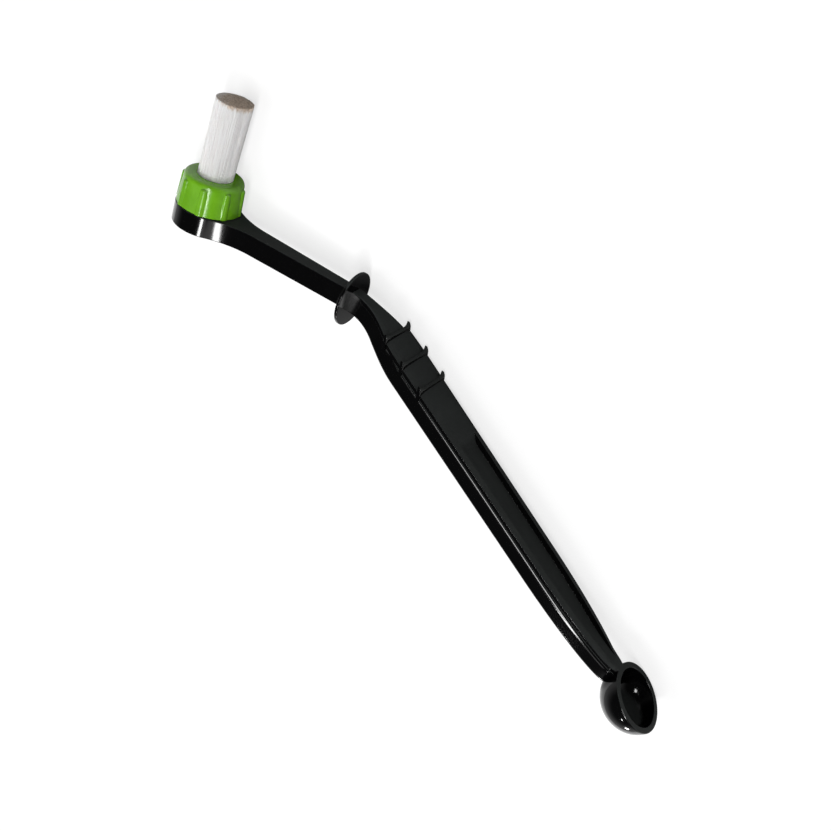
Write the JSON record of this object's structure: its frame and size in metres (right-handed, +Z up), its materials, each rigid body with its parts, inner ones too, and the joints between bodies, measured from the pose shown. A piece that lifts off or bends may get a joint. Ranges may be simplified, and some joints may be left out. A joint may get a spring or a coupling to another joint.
{
  "type": "group head brush",
  "caption": "Long cranked handle with a drip guard, thumb channel and end scoop, and a round bristle tuft held upright on its head by a ribbed screw collar.",
  "frame": {"origin": "centre of the bounding box's footprint, on the surface that the tool lies on", "axes": "+X from the head to the scoop, +Z up as the tool lies on its side, +Y towards the side that the bristles and the scoop's mouth face"},
  "size_m": [0.2442, 0.0484, 0.0231],
  "materials": {
    "handle_plastic": "glossy moulded black, with a finer, duller grain on the upper faces",
    "collar_plastic": "glossy moulded green, slightly translucent",
    "holder_plastic": "satin moulded plastic",
    "bristles": "white nylon monofilament, with stained tips"
  },
  "bodies": {
    "handle_body": {"handle": "handle_plastic"},
    "cartridge": {"tuft_holder": "holder_plastic", "bristle_tuft": "bristles"},
    "collar": {"screw_collar": "collar_plastic"}
  },
  "joints": [
    {"name": "cartridge_lift", "type": "slide", "parent": "handle_body", "child": "cartridge", "axis": [-0.3651, 0.9266, -0.0899], "range_m": [0, 0.0065]},
    {"name": "collar_turn", "type": "hinge", "parent": "cartridge", "child": "collar", "pos_m": [-0.10299, -0.01207, 0.01097], "axis": [-0.3651, 0.9266, -0.0899], "range_deg": [0, 935]}
  ],
  "couplings": [
    {"joint": "cartridge_lift", "follows": "collar_turn", "m_per_rad": 0.00039789}
  ]
}
